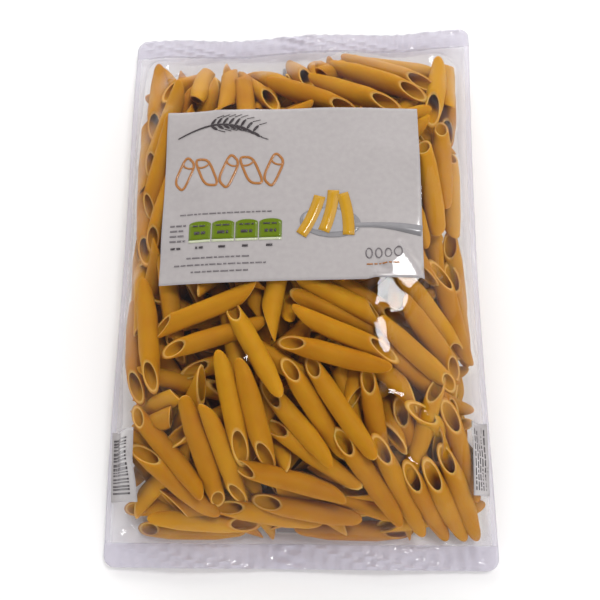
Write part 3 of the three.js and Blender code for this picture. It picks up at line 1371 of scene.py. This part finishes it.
    def seal_relief(self, into_seal: Array, fin: Array) -> Array:
        """The seals' relief: fine crimps along them, and slanted wrinkles where the back seal ends.

        Args:
            into_seal: How far each point lies in a seal, from 0 to 1.
            fin: How far each point lies in the back seal's end, from 0 to 1.

        Returns:
            The height.
        """
        x, y = self.x, self.y
        crimp = self.crimp_height * np.sin(2 * np.pi * y / self.crimp_pitch) * into_seal
        crinkle = 0.0
        for height, slant, spacing in SEAL_WRINKLES:
            crinkle = crinkle + height * np.sin(2 * np.pi * (y + slant * x) / spacing)
        return crimp + fin * crinkle

    def slack_relief(self, into_seal: Array, slack: Array) -> Array:
        """The pouch's folds: gathers at its ends, creases where it is slack, and puckers at its sides.

        Args:
            into_seal: How far each point lies in a seal, from 0 to 1.
            slack: How slack the film is, from 0 to 1.

        Returns:
            The height.
        """
        x, y, pillow = self.x, self.y, self.pillow
        pouch = 1.0 - into_seal
        near_end = smoothstep(pillow.pouch_end - self.gather_reach, pillow.pouch_end, np.abs(y)) * pouch
        edge_share = np.abs(x) / pillow.half_width(y)
        side = smoothstep(self.shoulder_low, self.shoulder_high, edge_share) * pouch
        least, more = self.gather_height
        gather = GATHERS.height(x, y) * near_end * (least + more * slack)
        crease = CREASES.height(x, y) * slack * (1.0 - near_end) * self.crease_height
        least, more = self.pucker_height
        pucker = PUCKERS.height(y, x) * side * (least + more * slack)
        return gather + crease + pucker

    @staticmethod
    def broad_mean(values: Array, reach: int = 5, passes: int = 3) -> Array:
        """Blurs a grid: the mean over a square of neighbours, taken a few times.

        Args:
            values: The grid.
            reach: How many points the square reaches to each side.
            passes: How often the mean is taken.

        Returns:
            The blurred grid.
        """
        span = 2 * reach + 1
        for _ in range(passes):
            for axis in (0, 1):
                margins = [(reach + 1, reach) if a == axis else (0, 0) for a in (0, 1)]
                total = np.cumsum(np.pad(values, margins, mode="edge"), axis=axis)
                size = values.shape[axis]
                values = (total.take(range(span, span + size), axis) - total.take(range(size), axis)) / span
        return values
    def level_at(self, x: Array, y: Array) -> Array:
        """The front film's level at any spot, between the grid's points.

        Args:
            x: The spots' x.
            y: The spots' y.

        Returns:
            The levels.
        """
        row = np.interp(y, self.row_y, np.arange(len(self.row_y)))
        share = x / self.pillow.half_width(y)
        column = (share.clip(-1.0, 1.0) + 1.0) / 2 * (self.columns - 1)
        i = np.minimum(row.astype(int), len(self.row_y) - 2)
        j = np.minimum(column.astype(int), self.columns - 2)
        s, t = row - i, column - j
        low = self.front[i, j] * (1 - t) + self.front[i, j + 1] * t
        high = self.front[i + 1, j] * (1 - t) + self.front[i + 1, j + 1] * t
        return low * (1 - s) + high * s

    def veil(self) -> Array:
        """How hazy the film looks at each point: most where it is doubled, a little where it is slack."""
        base = self.clear_veil + self.slack_veil * self.slack**3
        pleat = self.pleat_veil * self.pleat_share
        seal = self.seal_veil * self.into_seal
        haze = np.maximum(np.maximum(base, pleat), seal) + self.doubled_veil * self.fin
        return np.clip(haze, 0.0, self.most_veil)

    def build(self, material: bpy.types.Material) -> bpy.types.Object:
        """Makes the envelope: the front grid and the back grid, joined around their edges.

        Args:
            material: The film's finish.

        Returns:
            The film's object.
        """
        front = np.stack([self.x, self.y, self.front], axis=-1).reshape(-1, 3)
        back = np.stack([self.x, self.y, self.back], axis=-1).reshape(-1, 3)
        points, faces = closed_sheet(front, back, *self.x.shape)
        return make_object("film_bag", points, faces, material, {"veil": np.tile(self.veil().ravel(), 2)})

    def build_fin(self, material: bpy.types.Material) -> bpy.types.Object:
        """Makes the back seal: a crimped strip that lies folded flat under the back film.

        Args:
            material: The film's finish.

        Returns:
            The strip's object.
        """
        rows, columns = self.fin_rows, self.fin_columns
        reach = self.pillow.pouch_end - self.fin_end
        lengthwise, crosswise = np.linspace(-reach, reach, rows), np.linspace(-0.5, 0.5, columns)
        y, u = np.meshgrid(lengthwise, crosswise, indexing="ij")
        x = self.fin_centre + u * self.fin_width
        ridge = self.fin_ridge * np.sin(2 * np.pi * y / self.fin_pitch)
        level = np.minimum(self.pillow.back(x, y), self.fin_highest) - self.fin_drop + ridge
        floor = np.maximum(level - self.fin_half, self.fin_floor)
        upper = np.stack([x, y, level + self.fin_half], axis=-1).reshape(-1, 3)
        lower = np.stack([x, y, floor], axis=-1).reshape(-1, 3)
        points, faces = closed_sheet(upper, lower, rows, columns)
        veil = np.full(len(points), self.fin_veil)
        return make_object("film_fin_seal", points, faces, material, {"veil": veil})
@dataclass
class Print:
    """Marks of ink on the front film: each mark is a small grid on the plan, laid on the film."""

    film: FilmBag
    marks: dict[Ink, list[Array]] = field(default_factory=dict)
    cell: float = 1.3

    def add(self, ink: Ink, grid: Array) -> None:
        """Keeps a mark, as a grid of x and y with its rows running up and its columns to the right."""
        self.marks.setdefault(ink, []).append(grid)

    def block(self, ink: Ink, x: float, y: float, width: float, height: float) -> None:
        """Adds a rectangle, given by its centre and its size."""
        columns = max(2, int(np.ceil(width / self.cell)) + 1)
        rows = max(2, int(np.ceil(height / self.cell)) + 1)
        v, u = np.meshgrid(np.linspace(-0.5, 0.5, rows), np.linspace(-0.5, 0.5, columns), indexing="ij")
        self.add(ink, np.stack([x + u * width, y + v * height], axis=-1))

    def disc(self, ink: Ink, x: float, y: float, width: float, height: float, turn: float = 0.0) -> None:
        """Adds an ellipse: a square grid pressed round, (u sqrt(1 - v^2/2), v sqrt(1 - u^2/2))."""
        cells = max(6, int(np.ceil(max(width, height) / self.cell)) + 2)
        v, u = np.meshgrid(np.linspace(-1, 1, cells), np.linspace(-1, 1, cells), indexing="ij")
        across = u * np.sqrt(1 - v**2 / 2) * width / 2
        along = v * np.sqrt(1 - u**2 / 2) * height / 2
        cos, sin = np.cos(turn), np.sin(turn)
        self.add(ink, np.stack([x + across * cos - along * sin, y + across * sin + along * cos], axis=-1))

    def stroke(self, ink: Ink, path: Array, width: float | Array) -> None:
        """Adds a pen stroke: each point of a path moved half the width to either side of its heading."""
        heading = np.gradient(path, axis=0)
        heading /= np.linalg.norm(heading, axis=1)[:, None]
        sides = np.column_stack([-heading[:, 1], heading[:, 0]])
        aside = sides * np.broadcast_to(width, len(path))[:, None] / 2
        self.add(ink, np.stack([path + aside, path - aside], axis=0).transpose(1, 0, 2))

    def lay(self, name: str, ink: Ink, lift: float, thickness: float = 0.05) -> bpy.types.Object:
        """Makes all marks of an ink as one mesh of closed thin sheets on the film.

        Args:
            name: The piece's name.
            ink: The ink.
            lift: How far the marks' lower side lies above the film.
            thickness: The ink's thickness.

        Returns:
            The new object.
        """
        points, faces, start = [], [], 0
        for grid in self.marks[ink]:
            rows, columns = grid.shape[:2]
            level = self.film.level_at(grid[..., 0], grid[..., 1])
            lower = np.concatenate([grid, level[..., None] + lift], axis=-1).reshape(-1, 3)
            upper = lower + np.array([0.0, 0.0, thickness])
            sheet, quads = closed_sheet(upper, lower, rows, columns)
            if self.runs_left(grid):
                quads = quads[:, ::-1]
            points.append(sheet)
            faces.append(quads + start)
            start += len(sheet)
        return make_object(name, np.concatenate(points), np.concatenate(faces), ink.finish())

    @staticmethod
    def runs_left(grid: Array) -> bool:
        """Whether a grid's columns turn to the left of its rows, so that its faces must be turned."""
        right, up = grid[0, 1] - grid[0, 0], grid[1, 0] - grid[0, 0]
        return bool(right[0] * up[1] - right[1] * up[0] < 0)


@dataclass
class FrontPanel:
    """The white front panel and its print: a drawn ear of wheat, outlined tubes, tabs and a spoon."""

    film: FilmBag
    box: FieldBox
    seed: int = 23
    dash_least: float = 0.9
    dash_span: float = 2.2
    dash_gap: float = 0.55
    dash_end: float = 0.8
    drawing: Print = field(init=False)

    def __post_init__(self) -> None:
        """Draws the panel's print."""
        self.drawing = Print(self.film)
        self.random = np.random.default_rng(self.seed)
        self.drawing.block(Ink.WHITE, *self.box.centre, *self.box.size)
        self.draw_ear()
        self.draw_tubes()
        self.draw_tabs()
        self.draw_spoon()
        self.draw_weight_mark()

    def at(self, x: float, y: float) -> tuple[float, float]:
        """A spot on the panel, from its left edge and its bottom edge."""
        return self.box.left + x, self.box.bottom + y

    def fine_lines(self, ink: Ink, x: float, y: float, width: float, height: float) -> None:
        """Adds one line of small print as dashes of uneven length."""
        reach = 0.0
        while reach < width - self.dash_end:
            dash = min(width - reach, self.dash_least + self.dash_span * self.random.random())
            self.drawing.block(ink, *self.at(x + reach + dash / 2, y), dash, height)
            reach += dash + self.dash_gap

    def draw_ear(self) -> None:
        """Draws a thin ear of wheat: a swung stem, with grains in pairs and a whisker on each."""
        s = np.linspace(0.0, 1.0, 60)
        stem = np.column_stack([5.0 + 32.0 * s, 62.0 + 7.0 * np.sin(2.6 * s + 0.2)])
        stem += np.array(self.at(0.0, 0.0))
        self.drawing.stroke(Ink.DARK, stem, 0.45 + 0.35 * np.sin(np.pi * s))
        for share in np.linspace(0.42, 0.98, 8):
            root = np.array([np.interp(share, s, stem[:, 0]), np.interp(share, s, stem[:, 1])])
            for side in (-1.0, 1.0):
                lean = 0.15 + side * 0.75
                tip = root + 4.2 * np.array([np.cos(lean), np.sin(lean)])
                self.drawing.disc(Ink.DARK, *((root + tip) / 2), 3.6, 1.15, lean)
                whisker = tip + np.linspace(0.0, 1.0, 5)[:, None] * np.array([3.0, side * 1.1])
                self.drawing.stroke(Ink.DARK, whisker, 0.3)

    def draw_tubes(self) -> None:
        """Draws five outlined slanted tubes in a row: a long round-cornered outline and a cut line."""
        angle = np.linspace(0.0, 2 * np.pi, 60)
        for i in range(5):
            x, y = self.at(8.5 + 9.2 * i, 47.5)
            lean = np.radians((68.0, 112.0)[i % 2])
            bulge = (np.abs(np.cos(angle)) ** 0.5 * np.sign(np.cos(angle)), np.abs(np.sin(angle)) ** 0.6)
            along = 6.4 * bulge[0]
            across = 2.7 * bulge[1] * np.sign(np.sin(angle))
            outline = self.turned(along + 0.5 * across, across, lean, x, y)
            self.drawing.stroke(Ink.ORANGE, outline, 1.1)
            half = np.linspace(-np.pi / 2, np.pi / 2, 16)
            cut = self.turned(4.2 - 1.6 * np.cos(half), 2.6 * np.sin(half), lean, x, y)
            self.drawing.stroke(Ink.ORANGE, cut, 0.8)

    @staticmethod
    def turned(along: Array, across: Array, lean: float, x: float, y: float) -> Array:
        """Turns an outline by an angle and moves it to a spot."""
        cos, sin = np.cos(lean), np.sin(lean)
        return np.column_stack([x + along * cos - across * sin, y + along * sin + across * cos])

    def draw_tabs(self) -> None:
        """Draws four green tabs with paler feet, the marks in them and the small print around them."""
        self.fine_lines(Ink.SOFT, 7.5, 29.2, 38.0, 0.5)
        for i in range(4):
            x = 16.0 + 9.5 * i
            self.drawing.block(Ink.GREEN, *self.at(x, 21.4), 9.0, 6.6)
            self.drawing.disc(Ink.GREEN, *self.at(x, 24.6), 9.0, 3.0)
            self.drawing.block(Ink.LIME, *self.at(x, 17.5), 9.0, 1.0)
            self.fine_lines(Ink.DARK, x - 2.9, 24.0, 5.8, 0.6)
            self.fine_lines(Ink.DARK, x - 2.3, 21.0, 4.6, 1.2)
            self.fine_lines(Ink.DARK, x - 1.6, 14.9, 3.2, 0.9)
        for row in range(4):
            self.fine_lines(Ink.SOFT, 3.6, 24.6 - 2.2 * row, 6.8, 0.7)
        self.fine_lines(Ink.DARK, 4.2, 14.9, 4.8, 0.8)
        for row, (left, width) in enumerate(((11.0, 26.0), (6.0, 37.0), (13.0, 23.0))):
            self.fine_lines(Ink.SOFT, left, 10.6 - 2.9 * row, width, 0.55)

    def draw_spoon(self) -> None:
        """Draws a grey spoon that runs off the panel's right edge, with three tubes of pasta on it."""
        x, y = self.at(68.0, 24.0)
        s = np.linspace(0.0, 1.0, 40)
        run = self.box.right - x
        handle = np.column_stack([x + 9.0 + (run - 9.2) * s, y - 1.5 - 2.2 * s + 0.9 * np.sin(np.pi * s)])
        self.drawing.stroke(Ink.GREY, handle, 2.0 + 2.4 * smoothstep(0.2, 1.0, s))
        self.drawing.disc(Ink.GREY, x, y, 24.0, 13.0, -0.1)
        self.drawing.disc(Ink.PALE_GREY, x - 0.6, y + 0.6, 20.5, 10.0, -0.1)
        for dx, dy, lean in ((-7.0, 2.6, 1.15), (0.2, 4.6, 1.35), (6.8, 3.4, 1.7)):
            path_share = np.linspace(-1.0, 1.0, 14)
            path = self.turned(9.0 * path_share, 0.8 * path_share**2, lean, x + dx, y + dy)
            self.drawing.stroke(Ink.YELLOW, path, 4.6)

    def draw_weight_mark(self) -> None:
        """Draws the small marks at the panel's lower right corner."""
        turn = np.linspace(0.0, 2 * np.pi, 26)
        for i, width in enumerate((2.4, 2.4, 2.4, 3.0)):
            centre_x, centre_y = self.at(83.0 + 3.7 * i, 10.6)
            ring = np.column_stack([centre_x + width / 2 * np.cos(turn), centre_y + 2.0 * np.sin(turn)])
            self.drawing.stroke(Ink.SOFT, ring, 0.5)
        self.fine_lines(Ink.ORANGE, 82.0, 6.0, 13.0, 0.55)

    def build(self) -> dict[str, bpy.types.Object]:
        """Makes the panel and its inks, each colour one piece, and gives them by name."""
        layers = (
            ("panel_white", Ink.WHITE, 0.06),
            ("panel_grey", Ink.GREY, 0.20),
            ("panel_pale_grey", Ink.PALE_GREY, 0.30),
            ("panel_yellow", Ink.YELLOW, 0.40),
            ("panel_green", Ink.GREEN, 0.20),
            ("panel_lime", Ink.LIME, 0.20),
            ("panel_orange", Ink.ORANGE, 0.20),
            ("panel_soft", Ink.SOFT, 0.24),
            ("panel_dark", Ink.DARK, 0.32),
        )
        return {name: self.drawing.lay(name, ink, lift) for name, ink, lift in layers}


@dataclass
class SideFields:
    """The two small printed fields on the packet's lower edges: bars on the left, fine print right."""

    film: FilmBag
    bars: FieldBox
    text: FieldBox
    seed: int = 31

    # The bars: their margin at both ends, their shift and how much shorter they are than the field.
    bar_margin: float = 3.0
    bar_shift: float = -1.4
    bar_shorter: float = 4.6
    bar_widths: tuple[float, ...] = (0.5, 0.7, 0.7, 1.1)
    bar_gaps: tuple[float, ...] = (0.5, 0.6, 0.9)

    # The fine print: margins at its left, right, bottom and top, then its lines and their dashes.
    text_margins: tuple[float, float, float, float] = (1.5, 0.8, 2.0, 3.0)
    line_pitch: float = 1.25
    line_width: float = 0.5
    dash_least: float = 0.7
    dash_span: float = 2.6
    dash_gap: float = 0.6

    def build(self) -> list[bpy.types.Object]:
        """Makes both fields, with bars and lines of uneven width by a seeded rule."""
        random = np.random.default_rng(self.seed)
        field_print = Print(self.film)
        for box in (self.bars, self.text):
            field_print.block(Ink.WHITE, *box.centre, *box.size)
        x, length = self.bars.centre[0] + self.bar_shift, self.bars.size[0] - self.bar_shorter
        y = self.bars.bottom + self.bar_margin
        while y < self.bars.top - self.bar_margin:
            width = random.choice(self.bar_widths)
            field_print.block(Ink.DARK, x, y + width / 2, length, width)
            y += width + random.choice(self.bar_gaps)
        from_left, from_right, from_bottom, from_top = self.text_margins
        left = self.text.left + from_left
        while left < self.text.right - from_right:
            y = self.text.bottom + from_bottom
            while y < self.text.top - from_top:
                dash = self.dash_least + self.dash_span * random.random()
                field_print.block(Ink.DARK, left, y + dash / 2, self.line_width, dash)
                y += dash + self.dash_gap
            left += self.line_pitch
        return [
            field_print.lay("field_white", Ink.WHITE, 0.06),
            field_print.lay("field_dark", Ink.DARK, 0.20),
        ]


@dataclass(frozen=True)
class SoftLight:
    """A rectangular area light: its place and sides in metres, its power in watts, and its mirroring."""

    name: str
    place: tuple[float, float, float]
    size: tuple[float, float]
    power: float
    mirrored: bool = True


# The film shows a hard-edged image of each light that it mirrors, so the two broad ones are not mirrored.
SOFT_LIGHTS = (
    SoftLight("key", (-0.45, 1.5, 0.82), (2.3, 1.4), 27.0, mirrored=False),
    SoftLight("right", (1.1, -0.1, 0.8), (1.5, 1.2), 5.0),
    SoftLight("front", (-0.1, -1.35, 0.55), (1.9, 0.8), 9.5, mirrored=False),
)


@dataclass(frozen=True)
class Studio:
    """The camera at the photograph's viewing angle, soft lights and a pale floor."""

    target: tuple[float, float, float] = (1.64, -14.62, 20.0)
    distance: float = 330.0
    azimuth: float = 15.23
    elevation: float = 73.49
    roll: float = -15.48
    lens: float = 47.19
    sensor: float = 36.0
    nearest: float = 0.01
    aim: tuple[float, float, float] = (0.0, 0.0, 0.02)
    glint_spot: tuple[float, float, float] = (0.039, -0.022, 0.049)
    glint_normal: tuple[float, float, float] = (0.13, -0.02, 1.0)
    glint_distance: float = 0.9
    glint_size: tuple[float, float] = (0.16, 0.26)
    glint_power: float = 3.4
    floor_reach: float = 1500.0

    def view_axes(self) -> tuple[Vector, Vector, Vector]:
        """The camera's right, its up and its way back from the target."""
        turn, rise = np.radians(self.azimuth), np.radians(self.elevation)
        back = Vector((np.sin(turn) * np.cos(rise), -np.cos(turn) * np.cos(rise), np.sin(rise)))
        right = Vector((0.0, 0.0, 1.0)).cross(back).normalized()
        up = back.cross(right)
        cos, sin = np.cos(np.radians(self.roll)), np.sin(np.radians(self.roll))
        return right * cos + up * sin, up * cos - right * sin, back

    def add_camera(self) -> bpy.types.Object:
        """Places the camera, as fitted to the packet's four corners in the photograph.

        Returns:
            The camera's object.
        """
        right, up, back = self.view_axes()
        place = (Vector(self.target) + back * self.distance) * MM
        data = bpy.data.cameras.new("camera")
        data.lens = self.lens
        data.sensor_width = self.sensor
        data.clip_start = self.nearest
        camera = bpy.data.objects.new("camera", data)
        camera.matrix_world = Matrix(
            (
                (right.x, up.x, back.x, place.x),
                (right.y, up.y, back.y, place.y),
                (right.z, up.z, back.z, place.z),
                (0.0, 0.0, 0.0, 1.0),
            )
        )
        bpy.context.scene.collection.objects.link(camera)
        bpy.context.scene.camera = camera
        return camera

    @staticmethod
    def add_light(light: SoftLight, aim: Vector) -> None:
        """Adds a rectangular area light.

        Args:
            light: The light.
            aim: What it points at, in metres.
        """
        data = bpy.data.lights.new(light.name, "AREA")
        data.shape = "RECTANGLE"
        data.size, data.size_y = light.size
        data.energy = light.power
        lamp = bpy.data.objects.new(light.name, data)
        lamp.location = light.place
        lamp.visible_glossy = light.mirrored
        lamp.rotation_euler = (aim - Vector(light.place)).to_track_quat("-Z", "Y").to_euler()
        bpy.context.scene.collection.objects.link(lamp)

    def add_lights(self, camera: bpy.types.Object) -> None:
        """Adds the three soft lights, the walls around them, and a small light that glints on the film.

        The small light stands where the camera sees it mirrored in the film's right shoulder.

        Args:
            camera: The camera.
        """
        for light in SOFT_LIGHTS:
            self.add_light(light, Vector(self.aim))
        spot = Vector(self.glint_spot)
        normal = Vector(self.glint_normal).normalized()
        sight = (camera.matrix_world.translation - spot).normalized()
        glance = 2.0 * sight.dot(normal) * normal - sight
        place = spot + glance * self.glint_distance
        self.add_light(SoftLight("glint", tuple(place), self.glint_size, self.glint_power), spot)
        bpy.context.scene.world = self.surroundings()

    @staticmethod
    def surroundings() -> bpy.types.World:
        """The studio around the packet: pale walls, and a darker ceiling that flat film mirrors."""
        world = bpy.data.worlds.new("studio")
        world.use_nodes = True
        tree = world.node_tree
        direction = add_node(tree, "ShaderNodeTexCoord").outputs["Generated"]
        height = add_node(tree, "ShaderNodeSeparateXYZ", {0: direction}).outputs["Z"]
        strength = add_node(
            tree,
            "ShaderNodeMapRange",
            {"Value": height, "From Min": 0.3, "From Max": 0.95, "To Min": 0.72, "To Max": 0.13},
        ).outputs[0]
        background = tree.nodes["Background"]
        background.inputs["Color"].default_value = linear("F4F3F6")
        tree.links.new(strength, background.inputs["Strength"])
        return world

    def add_floor(self) -> bpy.types.Object:
        """Adds the floor that the packet lies on.

        Returns:
            The floor's object.
        """
        plan = np.array([[-1.0, -1.0, 0.0], [1.0, -1.0, 0.0], [1.0, 1.0, 0.0], [-1.0, 1.0, 0.0]])
        floor = make_object("floor", plan * self.floor_reach, np.array([[0, 1, 2, 3]]), StudioPaper().build())
        return floor


def attach(pieces: list[bpy.types.Object], nodes: tuple[str, ...]) -> None:
    """Ties pieces to the packet's body and hides the nodes that they stand for.

    Args:
        pieces: The pieces.
        nodes: The nodes that they replace.
    """
    for piece in pieces:
        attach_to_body(piece, "root")
        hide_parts(*nodes)
        LOG.info("%s: %d faces", piece.name, len(piece.data.polygons))


def corners(bounds: Any) -> list[list[float]]:
    """Turns a pair of corners into plain lists of numbers."""
    return [[float(value) for value in corner] for corner in bounds]


def main() -> None:
    """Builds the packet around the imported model, piece by piece."""
    logging.basicConfig(level=logging.INFO, format="%(name)s: %(message)s")
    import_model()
    bpy.context.scene.view_settings.view_transform = "Standard"
    studio = Studio()
    camera = studio.add_camera()
    studio.add_lights(camera)
    studio.add_floor()

    low, high = (Vector(corner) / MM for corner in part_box("packet"))
    pillow = Pillow(width=high.x - low.x, length=high.y - low.y, height=PACK_HEIGHT)
    heap = PenneHeap(pillow)
    LOG.info("packed %d tubes", heap.count)
    film = FilmBag(pillow, heap, FieldBox.of_node("front_panel"))
    clear = ClearFilm().build()
    attach([heap.build(DurumPasta().build())], ("packet",))
    attach([film.build(clear), film.build_fin(clear)], ("packet",))
    for name, piece in FrontPanel(film, film.label).build().items():
        attach([piece], ("front_panel",))
    fields = SideFields(film, FieldBox.of_node("bar_field"), FieldBox.of_node("print_field"))
    white, dark = fields.build()
    attach([white], ("bar_field", "print_field"))
    attach([dark], ("bar_field", "print_field"))


if __name__ == "__main__":
    main()
